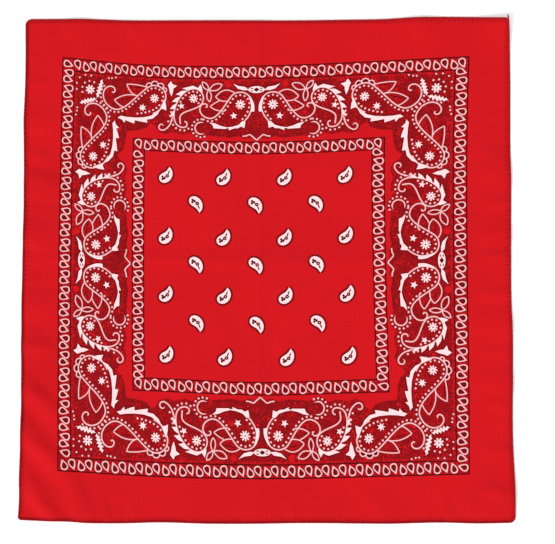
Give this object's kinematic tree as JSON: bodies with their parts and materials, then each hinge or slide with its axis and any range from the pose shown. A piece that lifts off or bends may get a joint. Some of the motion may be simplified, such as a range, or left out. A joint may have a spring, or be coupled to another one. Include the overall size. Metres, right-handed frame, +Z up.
{
  "type": "bandana laid flat",
  "caption": "Square printed cotton bandana laid flat, its rolled edge overlocked in dark thread, with a paisley border and small drop motifs in the middle.",
  "frame": {"origin": "on the surface the cloth lies on, under the middle of its box", "axes": "+X to the cloth's right side and +Y to its top side as the print reads, +Z up, away from the surface"},
  "size_m": [0.546, 0.5579, 0.0081],
  "materials": {
    "cotton": "plain-woven, matte, printed in white and black",
    "overlock": "spun thread wrapped round the rolled edge, matte"
  },
  "bodies": {
    "root": {"panel": "cotton", "edge_roll_left_top": "overlock", "edge_roll_bottom_right": "overlock"}
  },
  "joints": []
}
